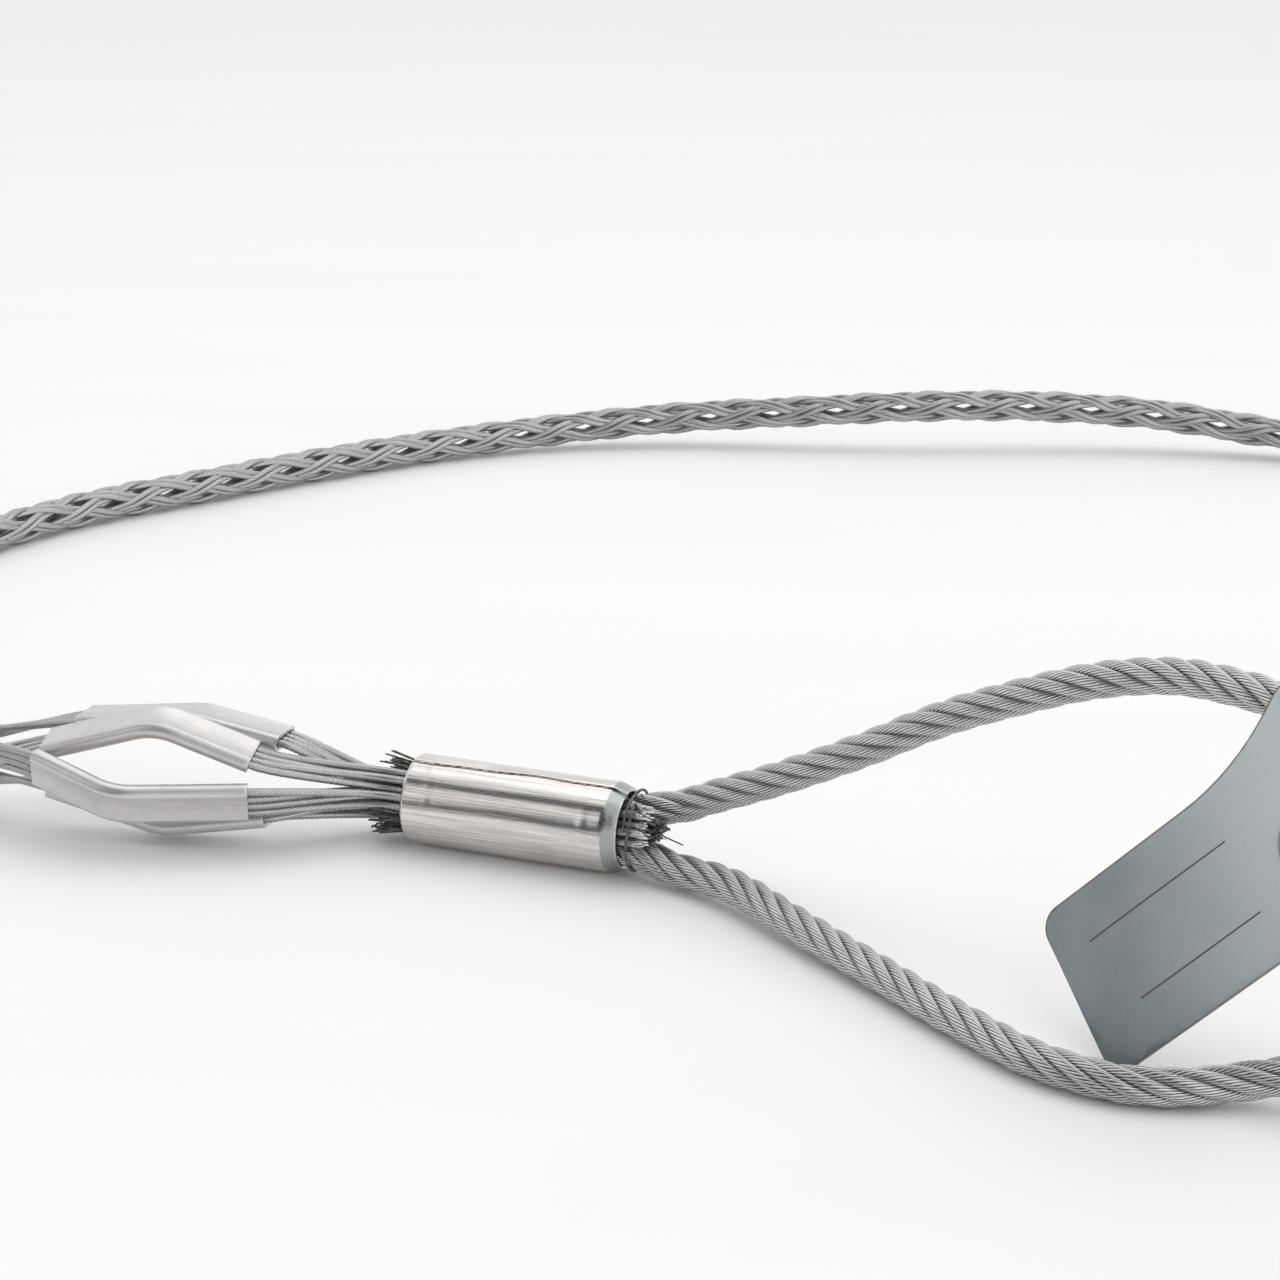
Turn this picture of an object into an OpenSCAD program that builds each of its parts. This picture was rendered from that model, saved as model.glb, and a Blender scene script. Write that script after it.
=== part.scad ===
// Woven wire pulling grip for cable, with a flexible rope eye.
// The floor that the grip lies on is level, and all routes are given above it.

/* [Eye rope] */
// Diameter of the eye's wire rope
rope_d = 6.35; // [5:0.05:6.6]
// Distance from a leg's centre to the ferrule's axis inside the ferrule
leg_offset = 3.75; // [3.4:0.05:3.8]
// Distance from a leg's centre to the ferrule's axis where the eye starts to flex
leg_spread = 6; // [5:0.1:8]
// Distance from the ferrule's mouth to the line about which the eye flexes
flex_line = 10; // [8:0.5:12]
// How far the rope's cut ends stick out behind the ferrule
rope_tail = 5.5; // [2:0.5:7]

/* [Ferrule] */
// Length of the ferrule
ferrule_len = 43; // [34:1:52]
// Outer diameter of the ferrule
ferrule_d = 17; // [16.6:0.1:20]
// Bore of the ferrule
ferrule_bore = 14; // [13.9:0.05:14.6]
// Length of the chamfer at the ferrule's mouth
chamfer_len = 2.6; // [1:0.1:4]
// Depth of the chamfer at the ferrule's mouth
chamfer_drop = 1; // [0.4:0.1:1.1]
// Radius of the rolled lip at the ferrule's other end
lip_r = 0.9; // [0.5:0.05:1.1]
// Width of the seam along the ferrule
seam_w = 0.4; // [0.2:0.05:0.8]
// Depth of the seam along the ferrule
seam_depth = 0.8; // [0.4:0.05:1]

/* [Strands and sleeves] */
// Diameter of a strand
strand_d = 1.6; // [1.2:0.05:1.62]
// Gap between neighbouring strands in a sleeve
strand_gap = 0.12; // [0.1:0.01:0.25]
// Clearance between the strands and a sleeve's inner wall
sleeve_gap = 0.2; // [0.15:0.05:0.4]
// Wall of a flattened sleeve
sleeve_wall = 0.7; // [0.5:0.05:1]
// Radius of a sleeve's bend, to its centre line
sleeve_bend_r = 12; // [8:0.5:16]
// How far the strands' cut ends reach out of the ferrule's mouth
strand_end = 3.5; // [1:0.5:5]
// Diameter of the binding wire at the ferrule's mouth
binding_d = 0.8; // [0.5:0.05:1]

/* [Mesh] */
// Diameter of the closed mesh
mesh_d = 8.9; // [7.5:0.1:10.5]
// Diameter of the mesh where the strands join it
throat_d = 12; // [11.8:0.1:14]
// Outer diameter of the mesh's open mouth
mouth_d = 12.5; // [11:0.1:15]
// Bore of the mesh's open mouth
mouth_bore = 7.5; // [6:0.1:9]
// Length of the mesh's open mouth
mouth_len = 22; // [14:1:30]

/* [Tag] */
// Length of the tag's plate
tag_len = 44; // [32:1:52]
// Width of the tag's plate
tag_w = 30; // [22:0.5:34]
// Thickness of the tag's sheet
tag_t = 0.8; // [0.5:0.05:1.2]
// Width of the tag's curl round the rope
curl_w = 12; // [8:0.5:13]
// Clearance between the rope and the curl
curl_gap = 1; // [0.9:0.05:1.4]
// Length of the tag's neck, from the rope's centre to the plate
neck_len = 13; // [11:0.5:20]
// Turn of the plate against its neck, in degrees
tag_turn = 28; // [20:1:34]

/* [Hidden] */

// Pose of the ferrule on the floor
ferrule_heading = -21;
ferrule_roll = 55;
seam_angle = 20;
joint_gap = 0.3;
tube_faces = 12;
// A nose is a ball that fits just inside the flats of its tube
nose_share = cos(180 / tube_faces) - 0.01;

rope_r = rope_d / 2;
strand_r = strand_d / 2;
mesh_r = mesh_d / 2;
strand_pitch = strand_d + strand_gap;
curl_r = rope_r + curl_gap;

// The eye's route from its upper leg round to its lower leg, from the point on the floor
// that is under the ferrule's mouth
eye_route = [
    [13, -2, 15], [27, -11, 23], [41, -19, 31.5], [54, -26, 40], [66, -34, 47], [78, -42, 53],
    [89, -51, 57], [97.5, -60.5, 58.5], [103.5, -67, 58.4], [107.5, -72.5, 57.6],
    [111.5, -77.5, 55.8], [116, -83.5, 52], [119.5, -89, 47.5], [122.5, -94.5, 40.5],
    [123.5, -97.5, 32], [121, -98, 22], [114.5, -96, 13.5], [106, -92.5, 7], [96, -90.5, 4],
    [86, -91, 3.2], [77, -89.5, 3.2], [65.5, -82, 3.2], [54.5, -68, 3.2], [43, -51, 3.3],
    [30, -32.5, 3.7], [18, -15.5, 4.2]
];
tip_point = 14;
curl_point = 9;
tag_lean = [-0.52, 0.1, -0.85];

// The mesh's route, with the height of its underside above the floor
mesh_route = [
    [-141, 41, 2.5], [-161, 56, 1], [-177, 77, 0], [-186, 103, 0], [-188, 120, 0], [-186, 137, 0],
    [-175, 169, 0], [-152, 203, 0], [-135, 221, 0], [-112, 238, 0], [-83, 259, 0], [-52, 278, 0],
    [-20, 290, 1], [13, 293, 3.5], [46, 290, 6], [79, 288, 8], [112, 288, 8], [145, 286, 6],
    [171, 281, 3], [190, 275, 2], [207, 268, 2]
];
mesh_flex_point = 4;

// Each sleeve's open end, bend and ferrule end, and the lengths of its two legs
sleeve_points = [
    [[-108, 35, 17], [-82, 26, 21], [-65, 20, 18.5]],
    [[-111, 21, 17], [-88, 15, 24.5], [-70, 13, 17.5]],
    [[-111, 14, 15], [-96, 6, 11], [-72, 8, 10.5]],
    [[-107, 19, 8.3], [-88, 15.5, 2.8], [-68.5, 13.8, 5.2]]
];
sleeve_legs = [[25, 18], [24, 19], [18, 25], [23, 20]];
sleeve_reach = 2;
bend_steps = 4;
end_steps = 6;

// Places of four strands in a quarter of the ferrule: along the legs' line, and across it
upper_slots = [[3.3, 4.25], [1.66, 5.45], [1.66, 3.8], [0, 4.65]];
lower_slots = [[3.3, 4.25], [1.66, 5.45], [1.66, 3.8], [0, 2.95]];
slots = [upper_slots, upper_slots, lower_slots, lower_slots];
quarters = [[1, -1], [1, 1], [-1, 1], [-1, -1]];
// The place that each of a sleeve's four strands takes in its quarter
slot_order = [[3, 2, 1, 0], [3, 1, 2, 0], [0, 2, 3, 1], [1, 2, 0, 3]];
// Where each sleeve's strands meet the mesh, and which way round they lie
throat_turn = [60, 330, 150, 240];
throat_way = [-1, 1, -1, -1];
throat_step = 22.5;

function unit(v) = v / norm(v);
function flat(v, n) = v - (v * n) * n;

// A smooth curve through every point of a route
function bend_at(a, b, c, d, t) =
    0.5 * (2 * b + (c - a) * t + (2 * a - 5 * b + 4 * c - d) * t * t
    + (3 * b - a - 3 * c + d) * t * t * t);
function smooth(route, steps) = [
    for (i = [0:len(route) - 2], k = [0:steps - 1])
        bend_at(
            route[max(i - 1, 0)], route[i], route[i + 1],
            route[min(i + 2, len(route) - 1)], k / steps
        ),
    route[len(route) - 1]
];
function heading(path, i) =
    unit(path[min(i + 1, len(path) - 1)] - path[max(i - 1, 0)]);
// A side direction that is carried along the path without twisting
function sides_of(path) = [
    for (i = 0, s = unit(flat([0.1, 0.2, 1], heading(path, 0)));
        i < len(path);
        i = i + 1, s = i < len(path) ? unit(flat(s, heading(path, i))) : s) s
];

// A closed solid swept along a path: rings hold the section's points, and the last repeats
module sweep(path, sides, rings) {
    faces = len(rings[0]);
    last = len(path) - 1;
    points = [
        for (i = [0:last], spot = rings[min(i, len(rings) - 1)])
            path[i] + spot[0] * sides[i] + spot[1] * cross(heading(path, i), sides[i])
    ];
    polyhedron(points, concat(
        [[for (k = [0:faces - 1]) k]],
        [for (i = [0:last - 1], k = [0:faces - 1])
            let (next = (k + 1) % faces)
            [i * faces + k, (i + 1) * faces + k, (i + 1) * faces + next, i * faces + next]],
        [[for (k = [faces - 1:-1:0]) last * faces + k]]
    ));
}

// A swept shell that is open at both ends
module sweep_shell(path, sides, outer, inner) {
    faces = len(outer);
    count = len(path);
    order = [for (i = [0:count - 1]) i, for (i = [count - 1:-1:0]) i];
    points = [
        for (n = [0:2 * count - 1], spot = n < count ? outer : inner)
            let (i = order[n])
            path[i] + spot[0] * sides[i] + spot[1] * cross(heading(path, i), sides[i])
    ];
    polyhedron(points, [
        for (n = [0:2 * count - 1], k = [0:faces - 1])
            let (next = (k + 1) % faces, ring = (n + 1) % (2 * count))
            [n * faces + k, ring * faces + k, ring * faces + next, n * faces + next]
    ]);
}

module tube(path, radii, faces) {
    turns = [for (k = [0:faces - 1]) 360 * (k + 0.5) / faces];
    rings = [for (r = radii) [for (turn = turns) r * [cos(turn), sin(turn)]]];
    sweep(path, sides_of(path), rings);
}

// The ferrule's own axes: out of its mouth, along the line of the legs, and across that line
mouth_at = [0, 0, ferrule_d / 2];
axis_out = [cos(ferrule_heading), sin(ferrule_heading), 0];
axis_legs = [
    -sin(ferrule_heading) * cos(ferrule_roll), cos(ferrule_heading) * cos(ferrule_roll),
    sin(ferrule_roll)
];
axis_across = cross(axis_out, axis_legs);
function from_ferrule(x, y, z) = mouth_at + x * axis_out + y * axis_legs + z * axis_across;

module at_ferrule() {
    translate(mouth_at) rotate([ferrule_roll, 0, ferrule_heading]) children();
}

// The whole grip is moved so that the eye's bearing point is the origin
eye_dir = unit(eye_route[tip_point] - mouth_at);
bearing = eye_route[tip_point] - rope_r * eye_dir;
module placed() {
    translate(-bearing) children();
}

module ferrule() {
    color([0.72, 0.71, 0.69])
    placed() at_ferrule()
    difference() {
        rotate([0, -90, 0]) rotate_extrude($fn = 96) {
            polygon([
                [ferrule_bore / 2, 0], [ferrule_d / 2 - chamfer_drop, 0],
                [ferrule_d / 2, chamfer_len], [ferrule_d / 2, ferrule_len - lip_r],
                [ferrule_d / 2 - lip_r, ferrule_len - lip_r],
                [ferrule_d / 2 - lip_r, ferrule_len], [ferrule_bore / 2, ferrule_len]
            ]);
            translate([ferrule_d / 2 - lip_r, ferrule_len - lip_r]) circle(r = lip_r, $fn = 32);
        }
        rotate([seam_angle, 0, 0])
            translate([-ferrule_len - 1, -seam_w / 2, ferrule_d / 2 - seam_depth])
            cube([ferrule_len + 2, seam_w, ferrule_d]);
    }
}

// One leg of the rope in the ferrule, with a round nose where the eye flexes
module rope_leg(side) {
    straight = [
        for (x = [-ferrule_len - rope_tail, -ferrule_len / 2, 0.5])
            from_ferrule(x, side * leg_offset, 0)
    ];
    middle = from_ferrule(flex_line / 2, side * (leg_offset + leg_spread) / 2 - side * 0.3, 0);
    nose = from_ferrule(flex_line, side * leg_spread, 0);
    color([0.58, 0.58, 0.57])
    placed() {
        tube(concat(straight, [middle, nose]), [rope_r], tube_faces);
        translate(nose) sphere(r = rope_r * nose_share, $fn = 32);
    }
}

module eye_rope() {
    ends = [for (side = [1, -1]) from_ferrule(flex_line, side * leg_spread, 0)];
    color([0.58, 0.58, 0.57])
    placed()
    difference() {
        tube(smooth(concat([ends[0]], eye_route, [ends[1]]), 2), [rope_r], tube_faces);
        for (end = ends) translate(end) sphere(r = rope_r + joint_gap, $fn = 32);
    }
}

// A wire loop round the bundle just outside the ferrule's mouth
module binding_wire() {
    loop_r = ferrule_bore / 2 + binding_d / 2 + 0.4;
    color([0.4, 0.4, 0.4])
    placed() at_ferrule()
    translate([1.4, 0, 0]) rotate([0, 90, 0])
    rotate_extrude($fn = 64) translate([loop_r, 0]) circle(d = binding_d, $fn = 16);
}

function sleeve_right(k) = unit(sleeve_points[k][2] - sleeve_points[k][1]);
function sleeve_left(k) = unit(sleeve_points[k][0] - sleeve_points[k][1]);
function sleeve_turn(k) = 180 - acos(sleeve_left(k) * sleeve_right(k));
function sleeve_normal(k) = unit(cross(sleeve_right(k), sleeve_left(k)));

// The outline of a flat opening that holds four strands side by side, grown by a wall
function sleeve_outline(wall) =
    let (
        round_r = strand_r + sleeve_gap + wall,
        half_row = 1.5 * strand_pitch
    )
    [for (end = [1, -1], step = [0:end_steps])
        let (turn = 180 * step / end_steps - 90)
        end * [half_row + round_r * cos(turn), round_r * sin(turn)]];

module sleeve(k) {
    line = in_sleeve(k, 1.5);
    inside = [for (i = [1:len(line) - 2]) line[i]];
    normals = [for (p = inside) sleeve_normal(k)];
    color([0.8, 0.8, 0.79])
    placed() sweep_shell(inside, normals, sleeve_outline(sleeve_wall), sleeve_outline(0));
}

// Centre line of one strand: from the ferrule's mouth through its sleeve to the mesh
function in_sleeve(k, row) =
    let (
        at = sleeve_points[k][1] + (row - 1.5) * strand_pitch * sleeve_normal(k),
        x = sleeve_right(k),
        y = cross(sleeve_normal(k), x),
        turn = sleeve_turn(k),
        run = sleeve_bend_r * tan(turn / 2),
        left = sleeve_left(k)
    )
    concat(
        [at + x * (sleeve_legs[k][1] + sleeve_reach), at + x * sleeve_legs[k][1]],
        [for (i = [0:bend_steps])
            let (part = turn * i / bend_steps)
            at + x * (run - sleeve_bend_r * sin(part)) + y * sleeve_bend_r * (1 - cos(part))],
        [at + left * sleeve_legs[k][0], at + left * (sleeve_legs[k][0] + sleeve_reach)]
    );

mesh_line = [for (p = mesh_route) p + [0, 0, mesh_r]];
near_line = smooth([for (i = [0:mesh_flex_point]) mesh_line[i]], 2);
far_line = smooth([for (i = [mesh_flex_point:len(mesh_line) - 1]) mesh_line[i]], 2);
function throat_place(k, row) =
    let (
        ahead = heading(near_line, 0),
        up = unit(flat([0, 0, 1], ahead)),
        side = cross(ahead, up),
        turn = throat_turn[k] + throat_way[k] * (row - 1.5) * throat_step,
        r = throat_d / 2 - strand_r - 0.05
    )
    mesh_line[0] + r * (cos(turn) * side + sin(turn) * up);

function strand_line(n) =
    let (
        k = floor(n / 4),
        row = n % 4,
        slot = slots[k][slot_order[k][row]],
        y = quarters[k][0] * slot[0],
        z = quarters[k][1] * slot[1],
        ahead = heading(near_line, 0),
        place = throat_place(k, row)
    )
    concat(
        [for (x = [strand_end, -ferrule_len / 2, -ferrule_len - rope_tail - 0.5])
            from_ferrule(x, y, z)],
        in_sleeve(k, row),
        [place - 2 * ahead, place]
    );

module strand(n) {
    color([0.66, 0.66, 0.64])
    placed() tube(strand_line(n), [strand_r], 8);
}

module mesh_near() {
    color([0.62, 0.62, 0.6])
    placed() {
        tube(near_line, [throat_d / 2, (throat_d + mesh_d) / 4, mesh_r], tube_faces);
        translate(mesh_line[mesh_flex_point]) sphere(r = mesh_r * nose_share, $fn = 32);
    }
}

module mesh_far() {
    color([0.62, 0.62, 0.6])
    placed()
    difference() {
        tube(far_line, [mesh_r], tube_faces);
        translate(mesh_line[mesh_flex_point]) sphere(r = mesh_r + joint_gap, $fn = 32);
    }
}

// The open end that a cable goes into
module mesh_mouth() {
    last = len(far_line) - 1;
    ahead = heading(far_line, last);
    color([0.62, 0.62, 0.6])
    placed()
    translate(far_line[last]) rotate([0, acos(ahead[2]), atan2(ahead[1], ahead[0])])
    difference() {
        union() {
            cylinder(h = mouth_len / 2, r1 = mesh_r, r2 = mouth_d / 2, $fn = 48);
            translate([0, 0, mouth_len / 2]) cylinder(h = mouth_len / 2, d = mouth_d, $fn = 48);
        }
        translate([0, 0, mouth_len / 2 - 2]) cylinder(h = mouth_len, d = mouth_bore, $fn = 48);
    }
}

module tag() {
    at = eye_route[curl_point];
    x = unit(eye_route[curl_point + 1] - eye_route[curl_point - 1]);
    y = unit(flat(tag_lean, x));
    z = cross(x, y);
    back = -curl_r - tag_t;
    color([0.66, 0.71, 0.76])
    placed()
    multmatrix([
        [x[0], y[0], z[0], at[0]], [x[1], y[1], z[1], at[1]], [x[2], y[2], z[2], at[2]],
        [0, 0, 0, 1]
    ]) {
        translate([0, 0, back]) linear_extrude(tag_t) {
            translate([-curl_w / 2, 0]) square([curl_w, neck_len + 4]);
            translate([-curl_w / 2, neck_len]) rotate(tag_turn) tag_plate();
        }
        rotate([0, 90, 0]) rotate([0, 0, 90]) tag_curl();
    }
}

module tag_plate() {
    corner = 4;
    translate([corner, 0]) square([tag_w - 2 * corner, tag_len]);
    translate([0, corner]) square([tag_w, tag_len - 2 * corner]);
    for (i = [0, 1], j = [0, 1])
        translate([corner + i * (tag_w - 2 * corner), corner + j * (tag_len - 2 * corner)])
        circle(r = corner, $fn = 32);
}

// The sheet's curl round the rope, open by a gap where the sheet's edge stops
module tag_curl() {
    translate([0, 0, -curl_w / 2]) rotate([0, 0, -90]) rotate_extrude(angle = -300, $fn = 64)
        translate([curl_r, 0]) square([tag_t, curl_w]);
}

ferrule();
eye_rope();
rope_leg(1);  // rope_leg_upper
rope_leg(-1);  // rope_leg_lower
binding_wire();
sleeve(0);  // sleeve_top_back
sleeve(1);  // sleeve_top_front
sleeve(2);  // sleeve_front
sleeve(3);  // sleeve_bottom
strand(0);  // strand_1
strand(1);  // strand_2
strand(2);  // strand_3
strand(3);  // strand_4
strand(4);  // strand_5
strand(5);  // strand_6
strand(6);  // strand_7
strand(7);  // strand_8
strand(8);  // strand_9
strand(9);  // strand_10
strand(10);  // strand_11
strand(11);  // strand_12
strand(12);  // strand_13
strand(13);  // strand_14
strand(14);  // strand_15
strand(15);  // strand_16
mesh_near();
mesh_far();
mesh_mouth();
tag();
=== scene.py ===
import bpy
import math
import random
import numpy as np
from mathutils import Matrix, Vector


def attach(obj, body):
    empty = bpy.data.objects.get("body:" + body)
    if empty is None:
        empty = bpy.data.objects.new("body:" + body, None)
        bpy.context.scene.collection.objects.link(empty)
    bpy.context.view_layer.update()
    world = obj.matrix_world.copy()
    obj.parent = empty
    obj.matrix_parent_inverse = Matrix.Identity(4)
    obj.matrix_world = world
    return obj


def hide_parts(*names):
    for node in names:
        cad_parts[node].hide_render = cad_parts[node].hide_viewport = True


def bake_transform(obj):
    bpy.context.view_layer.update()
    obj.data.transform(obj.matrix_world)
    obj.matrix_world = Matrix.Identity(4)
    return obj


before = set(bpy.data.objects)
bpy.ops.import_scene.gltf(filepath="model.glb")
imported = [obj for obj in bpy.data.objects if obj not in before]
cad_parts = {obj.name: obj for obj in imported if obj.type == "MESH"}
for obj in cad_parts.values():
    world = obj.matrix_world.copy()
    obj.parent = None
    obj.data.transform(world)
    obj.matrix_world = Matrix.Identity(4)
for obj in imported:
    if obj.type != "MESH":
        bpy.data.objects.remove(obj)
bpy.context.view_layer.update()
random.seed(7)
mm = 0.001

# Routes are in millimetres on the table, from the point under the ferrule's mouth, with Z up.
# The part's own zero is the eye's bearing point, so every finished mesh is shifted by it.
bearing = np.array((121.035, -95.554, 31.531))
mouthAt = np.array((0.0, 0.0, 8.5))
heading = math.radians(-21)
roll = math.radians(55)
axisOut = np.array((math.cos(heading), math.sin(heading), 0.0))
axisLegs = np.array((
    -math.sin(heading) * math.cos(roll), math.cos(heading) * math.cos(roll), math.sin(roll)))
axisAcross = np.cross(axisOut, axisLegs)


def toPart(point):
    return (np.asarray(point, float) - bearing) * mm


def fromFerrule(x, y, z):
    return mouthAt + x * axisOut + y * axisLegs + z * axisAcross


# ---- camera first, so that the cords can be judged against its view
cameraView = {"place": (2, -510, 224), "pitchDown": 19.3, "lens": 84.375}

bpy.ops.object.select_all(action="DESELECT")
bpy.ops.object.camera_add(
    location=toPart(cameraView["place"]),
    rotation=(math.radians(90 - cameraView["pitchDown"]), 0, 0))
camera = bpy.context.object
camera.name = "viewCamera"
camera.data.lens = cameraView["lens"]
camera.data.sensor_width = 36
camera.data.clip_start = 0.01
bpy.context.scene.camera = camera
print("camera placed")


# ---- finishes
class Finish:
    # A material with one Principled shader, and short words for its nodes
    def __init__(self, name):
        self.material = bpy.data.materials.new(name)
        self.material.use_nodes = True
        self.nodes = self.material.node_tree.nodes
        self.links = self.material.node_tree.links
        self.shader = self.nodes["Principled BSDF"]

    def add(self, kind, **settings):
        node = self.nodes.new(kind)
        for key, value in settings.items():
            setattr(node, key, value)
        return node

    def join(self, source, target):
        self.links.new(source, target)
        return target.node

    def fixed(self, **values):
        for key, value in values.items():
            self.shader.inputs[key.replace("_", " ")].default_value = value

    def mix(self, factor, low, high, blend="MIX"):
        node = self.add("ShaderNodeMix", data_type="RGBA", blend_type=blend)
        for place, value in ((0, factor), (6, low), (7, high)):
            socket = node.inputs[place]
            if hasattr(value, "links"):
                self.links.new(value, socket)
            elif isinstance(value, (int, float)):
                socket.default_value = value
            else:
                socket.default_value = (*value, 1)
        return node.outputs[2]

    def calculate(self, operation, *values):
        node = self.add("ShaderNodeMath", operation=operation)
        for socket, value in zip(node.inputs, values):
            if hasattr(value, "links"):
                self.links.new(value, socket)
            else:
                socket.default_value = value
        return node.outputs[0]

    def spread(self, source, low, high, start=0.0, end=1.0):
        node = self.add("ShaderNodeMapRange")
        self.links.new(source, node.inputs[0])
        for socket, value in zip(node.inputs[1:5], (start, end, low, high)):
            socket.default_value = value
        return node.outputs[0]

    def noise(self, vector, scale, detail=3.0, stretch=(1, 1, 1)):
        mapping = self.add("ShaderNodeMapping")
        mapping.inputs["Scale"].default_value = stretch
        self.links.new(vector, mapping.inputs["Vector"])
        node = self.add("ShaderNodeTexNoise")
        node.inputs["Scale"].default_value = scale
        node.inputs["Detail"].default_value = detail
        self.links.new(mapping.outputs[0], node.inputs["Vector"])
        return node.outputs[0]

    def bump(self, height, distance, strength=1.0):
        node = self.add("ShaderNodeBump")
        node.inputs["Strength"].default_value = strength
        node.inputs["Distance"].default_value = distance
        self.links.new(height, node.inputs["Height"])
        self.links.new(node.outputs[0], self.shader.inputs["Normal"])

    def attribute(self, name, output="Vector"):
        return self.add("ShaderNodeAttribute", attribute_name=name).outputs[output]

    def place(self):
        return self.add("ShaderNodeTexCoord").outputs["Object"]


def wireFinish(name, crest, valleyShade, rough):
    # Drawn wire: bright on the crowns, with painted shade making it dull and dark where wires meet
    finish = Finish(name)
    lay = finish.attribute("lay")
    parts = finish.add("ShaderNodeSeparateXYZ")
    finish.join(lay, parts.inputs[0])
    patches = finish.noise(lay, 0.35, 4, (0.4, 1, 3))
    streaks = finish.noise(lay, 2.2, 2, (0.5, 2, 7))
    tone = finish.mix(
        finish.spread(patches, 0, 1, 0.35, 0.68), crest, tuple(0.82 * c for c in crest))
    tone = finish.mix(finish.spread(streaks, 0, 0.35, 0.4, 0.75), tone, (0.42, 0.41, 0.38))
    # Painted shade: the lay attribute's second number, full in the valleys between wires, mixes in
    # the valley shade colour
    tone = finish.mix(finish.spread(parts.outputs[1], 0, 0.96, 0.13, 0.8), tone, valleyShade)
    finish.join(tone, finish.shader.inputs["Base Color"])
    finish.fixed(Metallic=0.9)
    finish.join(
        finish.spread(streaks, rough - 0.06, rough + 0.1), finish.shader.inputs["Roughness"])
    return finish.material


def frayFinish():
    finish = Finish("cutWireEnds")
    speckle = finish.noise(finish.place(), 900, 3)
    tone = finish.mix(
        finish.spread(speckle, 0, 1, 0.35, 0.7), (0.05, 0.048, 0.045), (0.24, 0.22, 0.2))
    finish.join(tone, finish.shader.inputs["Base Color"])
    finish.fixed(Metallic=0.75, Roughness=0.5)
    return finish.material


def ferruleFinish():
    # Bright swaged steel, rubbed along its length, with dull die lines and painted shade in the
    # seam
    finish = Finish("swagedSteel")
    local = finish.attribute("ferrulePlace")
    rubbedWearAndSheen = finish.noise(local, 0.9, 5, (3.2, 3.2, 0.06))
    fine = finish.noise(local, 5, 3, (5, 5, 0.12))
    patches = finish.noise(local, 0.22, 4, (1, 1, 0.5))
    tone = finish.mix(
        finish.spread(rubbedWearAndSheen, 0, 1, 0.32, 0.72), (0.84, 0.815, 0.795), (0.5, 0.47, 0.45))
    tone = finish.mix(finish.spread(patches, 0, 0.55, 0.5, 0.75), tone, (0.56, 0.5, 0.455))
    # Painted shade: near black down the seam's crack, strongest where the crack is deepest
    tone = finish.mix(finish.attribute("seamCrackShade", "Fac"), tone, (0.025, 0.022, 0.02))
    # Painted dark reflection: the mouth chamfer is coloured a darker, cooler grey
    tone = finish.mix(finish.attribute("chamferDarkReflection", "Fac"), tone, (0.33, 0.362, 0.356))
    finish.join(tone, finish.shader.inputs["Base Color"])
    finish.fixed(Metallic=1.0)
    finish.join(finish.spread(fine, 0.12, 0.28, 0.3, 0.75), finish.shader.inputs["Roughness"])
    finish.bump(rubbedWearAndSheen, 0.00006, 0.5)
    return finish.material


def sleeveFinish():
    finish = Finish("satinSleeve")
    local = finish.attribute("sleevePlace")
    drawn = finish.noise(local, 0.8, 4, (0.12, 2.5, 2.5))
    blotch = finish.noise(local, 0.3, 3)
    nicks = finish.noise(local, 3.2, 2)
    tone = finish.mix(
        finish.spread(drawn, 0, 1, 0.3, 0.7), (0.68, 0.66, 0.648), (0.6, 0.583, 0.573))
    tone = finish.mix(finish.spread(blotch, 0, 0.5, 0.5, 0.72), tone, (0.56, 0.55, 0.547))
    tone = finish.mix(finish.spread(nicks, 0, 0.6, 0.72, 0.78), tone, (0.92, 0.92, 0.9))
    finish.join(tone, finish.shader.inputs["Base Color"])
    finish.fixed(Metallic=0.9)
    finish.join(finish.spread(blotch, 0.3, 0.46), finish.shader.inputs["Roughness"])
    finish.bump(drawn, 0.00005, 0.2)
    return finish.material


def tagFinish():
    # Cool coated sheet with a worn, browned edge and plain ruled lines
    finish = Finish("coolTagSheet")
    local = finish.attribute("tagPlace")
    parts = finish.add("ShaderNodeSeparateXYZ")
    finish.join(local, parts.inputs[0])
    cloud = finish.noise(local, 0.06, 4)
    grain = finish.noise(local, 1.6, 3, (0.3, 2.5, 1))
    tone = finish.mix(
        finish.spread(cloud, 0, 1, 0.35, 0.68), (0.25, 0.29, 0.305), (0.19, 0.225, 0.24))
    tone = finish.mix(finish.spread(grain, 0, 0.25, 0.4, 0.8), tone, (0.34, 0.375, 0.39))
    # Painted reflection: the sheet is lighter near its neck, fading out 30 mm along it
    rubbedWearAndSheen = finish.spread(parts.outputs[1], 0.75, 0, -6, 30)
    tone = finish.mix(rubbedWearAndSheen, tone, (0.6, 0.645, 0.66))
    speck = finish.noise(local, 0.8, 2)
    tone = finish.mix(finish.spread(speck, 0, 0.8, 0.74, 0.8), tone, (0.3, 0.2, 0.15))
    worn = finish.spread(finish.attribute("edgeGap", "Fac"), 1, 0, 0.12, 0.4)
    tone = finish.mix(worn, tone, (0.16, 0.1, 0.075))
    for across, middle, reach in ((8.5, 22, 15), (21.5, 20, 13)):
        inked = finish.calculate("COMPARE", parts.outputs[0], across, 0.13)
        within = finish.calculate("COMPARE", parts.outputs[1], middle, reach)
        both = finish.calculate("MULTIPLY", inked, within)
        tone = finish.mix(both, tone, (0.06, 0.05, 0.055))
    finish.join(tone, finish.shader.inputs["Base Color"])
    finish.fixed(Metallic=0.65)
    finish.join(finish.spread(grain, 0.3, 0.42), finish.shader.inputs["Roughness"])
    finish.bump(grain, 0.00004, 0.4)
    return finish.material


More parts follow.
